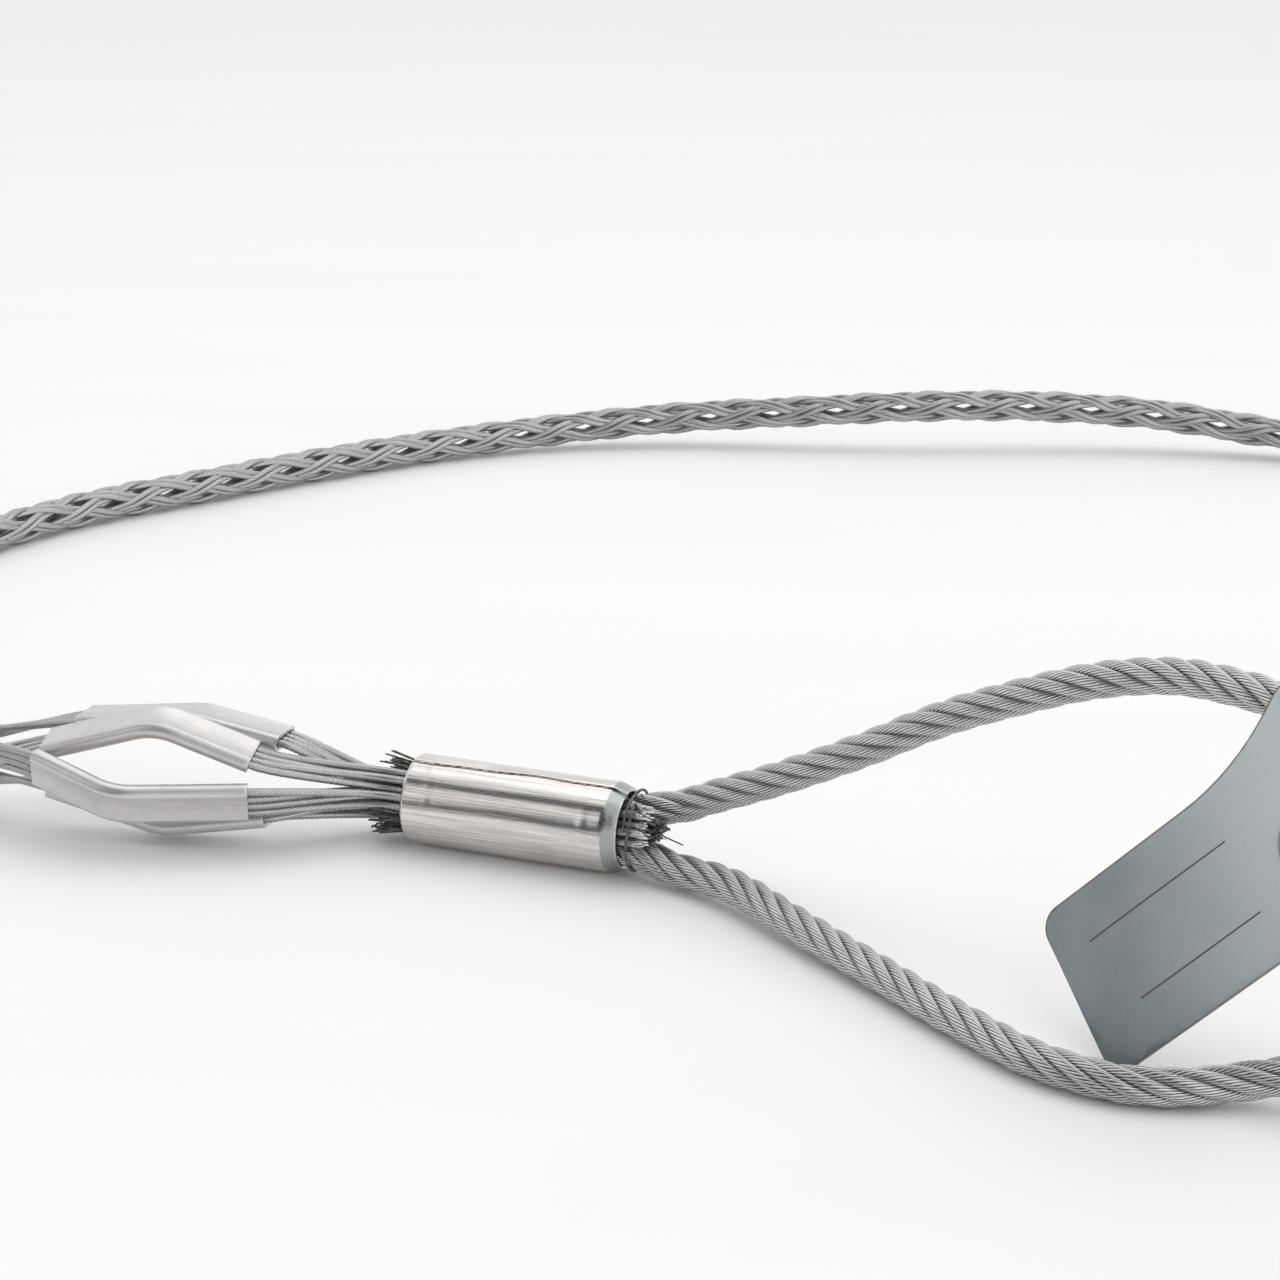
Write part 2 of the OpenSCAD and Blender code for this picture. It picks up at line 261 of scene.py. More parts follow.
# The second colour of each wire finish is painted shade for the valleys between its wires
ropeWire = wireFinish("galvanisedRopeWire", (0.76, 0.765, 0.755), (0.014, 0.013, 0.012), 0.28)
strandWire = wireFinish("galvanisedStrandWire", (0.97, 0.97, 0.96), (0.3, 0.293, 0.285), 0.32)
cutWire = frayFinish()
swagedSteel = ferruleFinish()
satinSleeve = sleeveFinish()
tagSheet = tagFinish()
print("finishes ready")


# ---- lines and wire sections
def unit(v):
    return v / np.linalg.norm(v)


def squareTo(v, n):
    return v - np.dot(v, n) * n


def smoothLine(points, steps):
    # A curve through every point, with the spacing of the points taken into account
    points = [np.asarray(p, float) for p in points]
    points = [2 * points[0] - points[1]] + points + [2 * points[-1] - points[-2]]
    line = []
    for a, b, c, d in zip(points, points[1:], points[2:], points[3:]):
        ta, tb = 0.0, np.linalg.norm(b - a) ** 0.5
        tc = tb + np.linalg.norm(c - b) ** 0.5
        td = tc + np.linalg.norm(d - c) ** 0.5
        for step in range(steps):
            t = tb + (tc - tb) * step / steps
            ab = (tb - t) / (tb - ta) * a + (t - ta) / (tb - ta) * b
            bc = (tc - t) / (tc - tb) * b + (t - tb) / (tc - tb) * c
            cd = (td - t) / (td - tc) * c + (t - tc) / (td - tc) * d
            abc = (tc - t) / (tc - ta) * ab + (t - ta) / (tc - ta) * bc
            bcd = (td - t) / (td - tb) * bc + (t - tb) / (td - tb) * cd
            line.append((tc - t) / (tc - tb) * abc + (t - tb) / (tc - tb) * bcd)
    line.append(points[-2])
    return np.array(line)


def lengthsAlong(line):
    return np.concatenate(([0], np.cumsum(np.linalg.norm(np.diff(line, axis=0), axis=1))))


def evenly(line, spacing):
    along = lengthsAlong(line)
    count = max(2, int(round(along[-1] / spacing)) + 1)
    at = np.linspace(0, along[-1], count)
    return np.stack([np.interp(at, along, line[:, i]) for i in range(3)], axis=1)


def tangents(line):
    ahead = np.gradient(line, axis=0)
    return ahead / np.linalg.norm(ahead, axis=1)[:, None]


def carriedSides(line, start=(0.1, 0.2, 1.0)):
    # A side direction carried along the line without twisting
    ahead = tangents(line)
    sides = np.empty_like(line)
    side = unit(squareTo(np.array(start), ahead[0]))
    for i, t in enumerate(ahead):
        side = unit(squareTo(side, t))
        sides[i] = side
    return ahead, sides


def lobes(wires, depth, crown=0.965):
    # Outline of one strand: each outer wire gives a valley and two points on its crown
    # The third number of each point weighs the painted shade: full in the valley, little on the
    # crown
    outline = []
    for k in range(wires):
        turn = 2 * math.pi * k / wires
        third = 2 * math.pi / wires
        outline.append((turn, 1 - depth, 1.0))
        outline.append((turn + 0.31 * third, crown + 0.02, 0.1))
        outline.append((turn + 0.69 * third, crown + 0.02, 0.1))
    return outline


def plainRound(sides):
    # Each point gets a small weight, 0.2, of the painted valley shade
    return [(2 * math.pi * k / sides, 1.0, 0.2) for k in range(sides)]


def sweptWire(line, radius, outline, pitch=0.0, number=0, startTurn=0.0, taper=None):
    # Rings of the outline along the line, turned by the wires' own twist
    ahead, sides = carriedSides(line)
    across = np.cross(ahead, sides)
    along = lengthsAlong(line)
    turn = np.array([o[0] for o in outline])
    reach = np.array([o[1] for o in outline]) * radius
    # depth here is the weight of the painted valley shade, kept as the lay attribute's second
    # number
    depth = np.array([o[2] for o in outline])
    twist = startTurn + (2 * math.pi * along / pitch if pitch else 0 * along)
    angle = turn[None, :] + twist[:, None]
    size = reach[None, :] * (np.ones(len(line)) if taper is None else taper)[:, None]
    rings = (
        line[:, None, :]
        + (size * np.cos(angle))[:, :, None] * sides[:, None, :]
        + (size * np.sin(angle))[:, :, None] * across[:, None, :])
    n, m = len(line), len(outline)
    i, k = np.meshgrid(np.arange(n - 1), np.arange(m), indexing="ij")
    after = (k + 1) % m
    quads = np.stack(
        [i * m + k, i * m + after, (i + 1) * m + after, (i + 1) * m + k], axis=-1).reshape(-1, 4)
    caps = [list(range(m - 1, -1, -1)), list(range((n - 1) * m, n * m))]
    lay = np.stack([
        np.repeat(along, m), np.tile(depth, n),
        np.full(n * m, 1.7 * number) + np.tile(np.arange(m) // 3, n) * 0.31], axis=1)
    return rings.reshape(-1, 3), quads, caps, lay


def wirePiece(name, sweeps, finish):
    # One mesh from many swept wires
    verts, faces, lays, start = [], [], [], 0
    for points, quads, caps, lay in sweeps:
        verts.append(points)
        lays.append(lay)
        faces.extend((quads + start).tolist())
        faces.extend([[v + start for v in cap] for cap in caps])
        start += len(points)
    mesh = bpy.data.meshes.new(name)
    mesh.from_pydata(toPart(np.concatenate(verts)).tolist(), [], faces)
    mesh.polygons.foreach_set("use_smooth", [len(f) == 4 for f in faces])
    mesh.attributes.new("lay", "FLOAT_VECTOR", "POINT").data.foreach_set(
        "vector", np.concatenate(lays).astype(np.float32).ravel())
    mesh.materials.append(finish)
    mesh.update()
    piece = bpy.data.objects.new(name, mesh)
    bpy.context.scene.collection.objects.link(piece)
    return piece


# ---- the eye's rope: six strands of twelve outer wires, right-hand lay
eyeRope = {
    "diameter": 6.35, "lay": 36.0, "strands": 6, "outerWires": 12, "wirePitch": 15.0,
    "legOffset": 3.75, "legSpread": 6.0, "ringStep": 1.0,
}
eyeRoute = [
    (13, -2, 15), (27, -11, 23), (41, -19, 31.5), (54, -26, 40), (66, -34, 47), (78, -42, 53),
    (89, -51, 57), (97.5, -60.5, 58.5), (103.5, -67, 58.4), (107.5, -72.5, 57.6),
    (111.5, -77.5, 55.8), (116, -83.5, 52), (119.5, -89, 47.5), (122.5, -94.5, 40.5),
    (123.5, -97.5, 32), (121, -98, 22), (114.5, -96, 13.5), (106, -92.5, 7), (96, -90.5, 4),
    (86, -91, 3.2), (77, -89.5, 3.2), (65.5, -82, 3.2), (54.5, -68, 3.2), (43, -51, 3.3),
    (30, -32.5, 3.7), (18, -15.5, 4.2),
]


def laidRope(centre, size, firstTurn=0.0):
    # The strands of a rope along its centre line, each as a swept wire section
    ropeR = size["diameter"] / 2
    strandR = ropeR / 3
    ahead, sides = carriedSides(centre)
    across = np.cross(ahead, sides)
    along = lengthsAlong(centre)
    sweeps = []
    for n in range(size["strands"]):
        turn = firstTurn + 2 * math.pi * (along / size["lay"] + n / size["strands"])
        line = centre + (ropeR - strandR) * (
            np.cos(turn)[:, None] * sides + np.sin(turn)[:, None] * across)
        sweeps.append(sweptWire(
            line, strandR * 1.02, lobes(size["outerWires"], 0.2), -size["wirePitch"], n, n * 1.3))
    return sweeps


def eyeCentreLine():
    offset, spread = eyeRope["legOffset"], eyeRope["legSpread"]
    leave = [fromFerrule(x, offset, 0) for x in (-6, -2, 0.5)] + [fromFerrule(10, spread, 0)]
    enter = [fromFerrule(10, -spread, 0)] + [fromFerrule(x, -offset, 0) for x in (0.5, -2, -6)]
    return evenly(smoothLine(leave + eyeRoute + enter, 8), eyeRope["ringStep"])


eyeLine = eyeCentreLine()
eyePiece = wirePiece("eyeRopeStrands", laidRope(eyeLine, eyeRope), ropeWire)
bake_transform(eyePiece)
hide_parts("eye_rope", "rope_leg_upper", "rope_leg_lower")


# ---- sixteen strands: through the ferrule and sleeves, then woven into the mesh
strand = {"diameter": 1.6, "outerWires": 9, "wirePitch": 8.5, "gap": 0.12, "endReach": 3.5}
sleeve = {
    "gap": 0.2, "wall": 0.7, "bendRadius": 12.0, "reach": 2.0, "bendSteps": 8, "pinch": 0.1,
    "rim": 0.14, "ringStep": 0.8,
}
ferrule = {
    "length": 43.0, "radius": 8.5, "boreRadius": 7.0, "chamferLength": 2.6, "chamferDrop": 1.0,
    "lip": 0.9, "segments": 360, "ringStep": 0.6, "seamAngle": -43.0, "seamHalfWidth": 0.26,
    "seamDepth": 0.6, "seamOpening": 0.5, "seamOpeningRun": 4.5, "dieRings": (-6.5, -37.8),
}
sleevePoints = [
    ((-108, 35, 17), (-82, 26, 21), (-65, 20, 18.5)),
    ((-111, 21, 17), (-88, 15, 24.5), (-70, 13, 17.5)),
    ((-111, 14, 15), (-96, 6, 11), (-72, 8, 10.5)),
    ((-107, 19, 8.3), (-88, 15.5, 2.8), (-68.5, 13.8, 5.2)),
]
sleeveLegs = [(25, 18), (24, 19), (18, 25), (23, 20)]
upperSlots = [(3.3, 4.25), (1.66, 5.45), (1.66, 3.8), (0, 4.65)]
lowerSlots = [(3.3, 4.25), (1.66, 5.45), (1.66, 3.8), (0, 2.95)]
slots = [upperSlots, upperSlots, lowerSlots, lowerSlots]
quarters = [(1, -1), (1, 1), (-1, 1), (-1, -1)]
slotOrder = [(3, 2, 1, 0), (3, 1, 2, 0), (0, 2, 3, 1), (1, 2, 0, 3)]
throatTurn = [60, 330, 150, 240]
throatWay = [-1, 1, -1, -1]
strandPitch = strand["diameter"] + strand["gap"]
strandR = strand["diameter"] / 2

meshRoute = [
    (-141, 41, 2.5), (-161, 56, 1), (-177, 77, 0), (-186, 103, 0), (-188, 120, 0),
    (-186, 137, 0), (-175, 169, 0), (-152, 203, 0), (-135, 221, 0), (-112, 238, 0),
    (-83, 259, 0), (-52, 278, 0), (-20, 290, 1), (13, 293, 3.5), (46, 290, 6), (79, 288, 8),
    (112, 288, 8), (145, 286, 6), (171, 281, 3), (190, 275, 2), (207, 268, 2),
]
weave = {
    "outerRadius": 4.45, "throatRadius": 5.15, "throatRun": 36.0, "pitch": 70.0, "over": 0.5,
    "mouthRadius": 5.1, "mouthRun": 13.0, "mouthLength": 20.0, "step": 1.15,
}


def sleeveAxes(k):
    left, bend, right = (np.array(p, float) for p in sleevePoints[k])
    x, back = unit(right - bend), unit(left - bend)
    normal = unit(np.cross(x, back))
    return bend, x, back, normal, np.cross(normal, x)


def sleeveBend(x, back):
    # The angle of the bend, and how far along each leg it starts
    turn = math.pi - math.acos(np.dot(x, back))
    return turn, sleeve["bendRadius"] * math.tan(turn / 2)


def sleeveLine(k, row, reach):
    # Centre line of one strand's place in a sleeve, from its ferrule end to its mesh end
    bend, x, back, normal, y = sleeveAxes(k)
    at = bend + (row - 1.5) * strandPitch * normal
    turn, run = sleeveBend(x, back)
    arc = [
        at + x * (run - sleeve["bendRadius"] * math.sin(part))
        + y * sleeve["bendRadius"] * (1 - math.cos(part))
        for part in np.linspace(0, turn, sleeve["bendSteps"] + 1)]
    longLeg, shortLeg = sleeveLegs[k]
    return (
        [at + x * (shortLeg + reach), at + x * (shortLeg - 2)] + arc
        + [at + back * (longLeg - 2), at + back * (longLeg + reach)])


meshR = weave["outerRadius"]
meshCentre = evenly(smoothLine([np.add(p, (0, 0, meshR)) for p in meshRoute], 8), weave["step"])
meshAhead, meshSides = carriedSides(meshCentre, (0, 0, 1))
meshAcross = np.cross(meshAhead, meshSides)
meshAlong = lengthsAlong(meshCentre)


def onMesh(s, turn, r):
    # A point at distance s along the mesh, past its end in a straight line
    past = max(0.0, s - meshAlong[-1])
    def at(values):
        return np.array([np.interp(s, meshAlong, values[:, i]) for i in range(3)])
    outward = math.cos(turn) * -at(meshAcross) + math.sin(turn) * at(meshSides)
    return at(meshCentre) + past * at(meshAhead) + r * outward


def eased(t):
    t = min(max(t, 0.0), 1.0)
    return t * t * (3 - 2 * t)


def weaveRadius(s, sign):
    end = meshAlong[-1]
    mean = weave["outerRadius"] - strandR - weave["over"]
    mean += (weave["throatRadius"] - mean) * (1 - eased(s / weave["throatRun"]))
    mean += (weave["mouthRadius"] - mean) * eased((s - end) / weave["mouthRun"])
    wave = math.cos(8 * math.pi * (s / weave["pitch"] - 1 / 16))
    return mean + sign * weave["over"] * wave * eased(s / 8)


def throatTurnOf(n):
    k, row = divmod(n, 4)
    return throatTurn[k] + throatWay[k] * (row - 1.5) * 22.5


def handOf(n):
    # Strands that lie next to each other at the throat go the same way round, in pairs
    place = round((throatTurnOf(n) % 360 - 3.75) / 22.5) % 16
    return 1 if place % 4 < 2 else -1


def wovenLine(n):
    hand = handOf(n)
    first = math.radians(throatTurnOf(n))
    stop = meshAlong[-1] + weave["mouthLength"] - 5
    stations = np.arange(0, stop, weave["step"])
    line = [
        onMesh(s, first + hand * 2 * math.pi * s / weave["pitch"], weaveRadius(s, hand))
        for s in stations]
    return np.array(line), first + hand * 2 * math.pi * stations[-1] / weave["pitch"], stations[-1]


def nearLine(n):
    k, row = divmod(n, 4)
    slot = slots[k][slotOrder[k][row]]
    y, z = quarters[k][0] * slot[0], quarters[k][1] * slot[1]
    inFerrule = [
        fromFerrule(x, y, z)
        for x in (strand["endReach"], -8, -ferrule["length"] / 2, -36, -ferrule["length"] - 6)]
    throat = onMesh(0, math.radians(throatTurnOf(n)), weave["throatRadius"])
    points = inFerrule + sleeveLine(k, row, sleeve["reach"])
    return points + [throat - 4 * meshAhead[0], throat - 1.5 * meshAhead[0], throat]


nearSweeps, weaveSweeps = [], {1: [], -1: []}
# A strand is small, so each of its wires has one valley and one crown point
wireTurn = 2 * math.pi / strand["outerWires"]
strandOutline = [
    (turn if depth == 1.0 else turn + 0.19 * wireTurn, reach, depth)
    for i, (turn, reach, depth) in enumerate(lobes(strand["outerWires"], 0.2)) if i % 3 < 2]
mouthEnds = {}
for n in range(16):
    near = evenly(smoothLine(nearLine(n), 8), 0.95)
    nearSweeps.append(sweptWire(near, strandR, strandOutline, strand["wirePitch"], n))
    line, lastTurn, lastStation = wovenLine(n)
    mouthEnds[n] = (lastTurn % (2 * math.pi), lastStation, line)
nearPiece = wirePiece("strandsToSleeves", nearSweeps, strandWire)
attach(nearPiece, "grip")
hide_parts(*["strand_%d" % n for n in range(1, 17)])

# At the open end each strand turns back in a loop and comes back as its neighbour
rightHanded = [n for n in range(16) if handOf(n) == 1]
leftHanded = [n for n in range(16) if handOf(n) == -1]
for n in rightHanded:
    turn, station, line = mouthEnds[n]
    gaps = {m: (mouthEnds[m][0] - turn) % (2 * math.pi) for m in leftHanded}
    pairMates = sorted(gaps, key=gaps.get)
    sameHand = sorted(((mouthEnds[m][0] - turn) % (2 * math.pi), m) for m in rightHanded if m != n)
    inner = sameHand[0][0] > math.radians(40)
    mate = pairMates[0] if inner else pairMates[1]
    gap = gaps[mate]
    height = 2.0 if inner else 4.2
    loop = [
        onMesh(
            station + height * math.sin(t), turn + gap / 2 * (1 - math.cos(t)),
            weave["mouthRadius"] + weave["over"] * math.cos(t) * 0.6)
        for t in np.linspace(0.15, math.pi - 0.05, 14)]
    whole = evenly(smoothLine(list(line[:-2:2]) + [line[-1]] + loop, 3), weave["step"])
    weaveSweeps[1].append(
        sweptWire(whole, strandR, strandOutline, strand["wirePitch"], n))
for n in leftHanded:
    weaveSweeps[-1].append(
        sweptWire(mouthEnds[n][2], strandR, strandOutline, strand["wirePitch"], n))
weaveOne = wirePiece("meshWeaveRightHand", weaveSweeps[1], strandWire)
weaveTwo = wirePiece("meshWeaveLeftHand", weaveSweeps[-1], strandWire)
for piece in (weaveOne, weaveTwo):
    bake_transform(piece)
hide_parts("mesh_far", "mesh_near")
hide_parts("mesh_mouth")
meshPath = np.array([onMesh(s, 0, 0) for s in np.arange(0, meshAlong[-1] + 15, 3)])


# ---- the ferrule: a swaged sleeve with a butt seam, a chamfered mouth and a rolled lip
ferruleAxes = Matrix((
    (*axisLegs,), (*axisAcross,), (*axisOut,))).transposed().to_4x4()
ferruleAxes.translation = toPart(mouthAt)


def storeFloats(mesh, name, values):
    mesh.attributes.new(name, "FLOAT", "POINT").data.foreach_set(
        "value", np.asarray(values, np.float32))


def storeVectors(mesh, name, values):
    mesh.attributes.new(name, "FLOAT_VECTOR", "POINT").data.foreach_set(
        "vector", np.asarray(values, np.float32).ravel())


def pointsOf(mesh):
    points = np.empty(len(mesh.vertices) * 3)
    mesh.vertices.foreach_get("co", points)
    return points.reshape(-1, 3) / mm


def setPoints(mesh, points):
    mesh.vertices.foreach_set("co", (points * mm).ravel())
    mesh.update()


def ferruleOutline(size):
    # From the mouth's bore edge over the chamfer, along the outside, round the lip and back
    length, radius, lip = size["length"], size["radius"], size["lip"]
    mouthR = radius - size["chamferDrop"]
    outline = [(0.12, 7.12), (0.18, 7.3), (0.1, mouthR), (-0.15, mouthR + 0.14)]
    outline += [
        (-x, mouthR + 0.14 + (radius - mouthR - 0.14) * (x - 0.15) / (size["chamferLength"] - 0.15))
        for x in (0.9, 1.7, 2.4)]
    outline += [(-x, radius) for x in np.arange(
        size["chamferLength"] + 0.1, length - lip, size["ringStep"])]
    outline += [
        (-length + lip - lip * math.sin(t), radius - lip + lip * math.cos(t))
        for t in np.radians(range(0, 150, 15))]
    return outline + [(-x, size["boreRadius"]) for x in (length - lip, 30, 15, 1, 0)]


def makeFerrule(size):
    bpy.ops.object.select_all(action="DESELECT")
    bpy.ops.mesh.primitive_circle_add(
        vertices=size["segments"], radius=size["boreRadius"] * mm, location=(0, 0, 0))
    piece = bpy.context.object
    piece.name = "swagedFerrule"
    bpy.ops.object.mode_set(mode="EDIT")
    bpy.ops.mesh.select_all(action="SELECT")
    x, r = 0.0, size["boreRadius"]
    for nextX, nextR in ferruleOutline(size):
        bpy.ops.mesh.extrude_region_move(
            TRANSFORM_OT_translate={"value": (0, 0, (nextX - x) * mm)})
        bpy.ops.transform.resize(
            value=(nextR / r, nextR / r, 1), center_override=(0, 0, nextX * mm))
        x, r = nextX, nextR
    bpy.ops.mesh.select_all(action="SELECT")
    bpy.ops.mesh.remove_doubles(threshold=1e-6)
    bpy.ops.mesh.normals_make_consistent(inside=False)
    bpy.ops.object.mode_set(mode="OBJECT")

    points = pointsOf(piece.data)
    r = np.hypot(points[:, 0], points[:, 1])
    x = points[:, 2]
    turn = np.arctan2(-points[:, 0], points[:, 1])
    wander = (
        2.2 * np.sin(x / 7.0 + 0.6) + 0.9 * np.sin(x / 2.3) + 0.55 * np.sin(x * 2.9)
        + 0.35 * np.sin(x * 6.1 + 1))
    fromSeam = (turn - np.radians(size["seamAngle"] + wander)) * size["radius"]
    run = size["seamOpeningRun"]
    opening = size["seamHalfWidth"] + size["seamOpening"] * np.clip((x + run) / run, 0, 1) ** 2
    outside = r > size["boreRadius"] + 0.2
    crack = np.exp(-(fromSeam / opening) ** 2)
    change = -size["seamDepth"] * crack + 0.12 * np.exp(-((fromSeam - 0.75) / 0.5) ** 2)
    change += 0.05 * np.cos(2 * turn + 0.7) + 0.025 * np.sin(3 * turn + x / 6)
    for ring in size["dieRings"]:
        change += 0.05 * np.exp(-((x - ring) / 0.5) ** 2) * (np.cos(turn - 0.9) > -0.2)
    r = np.where(outside, r + change, r)
    points[:, 0], points[:, 1] = -r * np.sin(turn), r * np.cos(turn)
    setPoints(piece.data, points)
    storeVectors(piece.data, "ferrulePlace", np.stack([turn * size["radius"], r, x], axis=1))
    # The painted shade in the seam follows the crack's own depth profile
    storeFloats(piece.data, "seamCrackShade", np.where(outside, np.clip(1.3 * crack, 0, 1), 0))
    # Where the chamfer gets its painted dark reflection colour
    storeFloats(piece.data, "chamferDarkReflection", np.where(outside & (x > -2.45) & (x < 0.05), 0.9, 0))
    piece.data.materials.append(swagedSteel)
    bpy.ops.object.shade_smooth_by_angle(angle=math.radians(35))
    piece.data.transform(ferruleAxes)
    return piece


ferrulePiece = makeFerrule(ferrule)
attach(ferrulePiece, "grip")
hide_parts("ferrule")
print("ferrule swaged")


# ---- sleeves: flat tubes bent over four strands each
sleeveNames = ["sleeve_top_back", "sleeve_top_front", "sleeve_front", "sleeve_bottom"]


def makeSleeve(k):
    bend, x, back, normal, y = sleeveAxes(k)
    turn, run = sleeveBend(x, back)
    longLeg, shortLeg = sleeveLegs[k]
    first, arc = shortLeg - run, sleeve["bendRadius"] * turn
    total = first + arc + longLeg - run
    outer = strandR + sleeve["gap"] + sleeve["wall"]
    bpy.ops.object.select_all(action="DESELECT")
    bpy.ops.mesh.primitive_circle_add(vertices=64, radius=outer * mm, location=(0, 0, 0))
    piece = bpy.context.object
    piece.name = "bentSleeve%d" % (k + 1)
    bpy.ops.object.mode_set(mode="EDIT")
    bpy.ops.mesh.select_all(action="SELECT")
    steps = int(total / sleeve["ringStep"])
    for step in range(steps):
        bpy.ops.mesh.extrude_region_move(
            TRANSFORM_OT_translate={"value": (0, 0, total / steps * mm)})
    bpy.ops.mesh.select_all(action="SELECT")
    bpy.ops.mesh.normals_make_consistent(inside=False)
    bpy.ops.object.mode_set(mode="OBJECT")

    # Flatten the round tube: its halves move apart and the middle is pressed in a little
    points = pointsOf(piece.data)
    halfRow = 1.5 * strandPitch
    points[:, 1] += np.where(np.abs(points[:, 1]) < 1e-4, 0, np.sign(points[:, 1])) * halfRow
    middle = np.abs(points[:, 1]) < halfRow + 0.2
    points[:, 0] -= np.sign(points[:, 0]) * sleeve["pinch"] * middle
    setPoints(piece.data, points)
    centre = pointsOf(piece.data).mean(axis=0)
    facing = piece.data.polygons[0]
    inward = np.dot(
        np.array(facing.normal)[:2], np.array(facing.center)[:2] / mm - centre[:2]) < 0
    solid = piece.modifiers.new("wall", "SOLIDIFY")
    solid.thickness = sleeve["wall"] * mm
    solid.offset = 1 if inward else -1
    rim = piece.modifiers.new("rim", "BEVEL")
    rim.width, rim.segments = sleeve["rim"] * mm, 2
    rim.limit_method, rim.angle_limit = "ANGLE", math.radians(60)
    bpy.ops.object.modifier_apply(modifier="wall")
    bpy.ops.object.modifier_apply(modifier="rim")
    bpy.ops.object.mode_set(mode="EDIT")
    bpy.ops.mesh.select_all(action="SELECT")
    bpy.ops.mesh.normals_make_consistent(inside=False)
    bpy.ops.object.mode_set(mode="OBJECT")

    points = pointsOf(piece.data)
    flat = points.copy()
    thick, row, s = points[:, 0:1], points[:, 1:2], points[:, 2:3]
    part = np.clip((s - first) / arc, 0, 1) * turn
    before = np.clip(first - s, -0.5 if first < 0 else 0, None)
    after = np.clip(s - first - arc, 0, None)
    radius = sleeve["bendRadius"]
    centreLine = (
        bend + x * (run - radius * np.sin(part)) + y * radius * (1 - np.cos(part))
        + x * before + back * after)
    ahead = -x * np.cos(part) + y * np.sin(part)
    points = centreLine + row * normal + thick * np.cross(ahead, normal)
    piece.data.vertices.foreach_set("co", toPart(points).ravel())
    piece.data.update()
    storeVectors(piece.data, "sleevePlace", np.stack([
        flat[:, 2], flat[:, 1], flat[:, 0] + 20 * k], axis=1))
    piece.data.materials.append(satinSleeve)
    bpy.ops.object.shade_smooth_by_angle(angle=math.radians(40))
    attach(piece, "grip")
    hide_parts(sleeveNames[k])


for k in range(4):
    makeSleeve(k)
print("sleeves bent")


# ---- the tag: a thin sheet with rounded corners, its neck curled round the rope
tag = {
    "length": 44.0, "width": 30.0, "sheet": 0.8, "curlWidth": 12.0, "curlGap": 1.0, "neck": 13.0,
    "turn": 28.0, "corner": 4.0, "curlTurn": 300.0, "curlPoint": 9, "lean": (-0.52, 0.1, -0.85),
    "cellSize": 2.5,
}


def roundedOutline(corners):
    # Straight edges joined by arcs, each corner given as x, y and radius
    outline = []
    for i, (px, py, radius) in enumerate(corners):
        p = np.array((px, py))
        a = unit(np.array(corners[i - 1][:2]) - p)
        b = unit(np.array(corners[(i + 1) % len(corners)][:2]) - p)
        half = math.acos(np.clip(np.dot(a, b), -1, 1)) / 2
        reach = radius / math.tan(half)
        middle = p + unit(a + b) * radius / math.sin(half)
        start, end = p + a * reach - middle, p + b * reach - middle
        sweep = math.pi - 2 * half
        for part in np.linspace(0, 1, max(9, int(math.degrees(sweep) / 6))):
            outline.append(
                middle + (math.sin((1 - part) * sweep) * start + math.sin(part * sweep) * end)
                / math.sin(sweep))
    return np.array(outline)


def tagOutline(size):
    c, s = math.cos(math.radians(size["turn"])), math.sin(math.radians(size["turn"]))
    half = size["curlWidth"] / 2
    def plate(u, v):
        return -half + u * c - v * s, size["neck"] + u * s + v * c
    meet = size["neck"] + 2 * half * s / c
    middleR = eyeRope["diameter"] / 2 + size["curlGap"] + size["sheet"] / 2
    top = -math.radians(size["curlTurn"]) * middleR
    w, h, r = size["width"], size["length"], size["corner"]
    return roundedOutline([
        (-half, top, 0.6), (half, top, 0.6), (half, meet, 7), (*plate(w, 0), r),
        (*plate(w, h), r), (*plate(0, h), r), (-half, size["neck"], 44)]), middleR


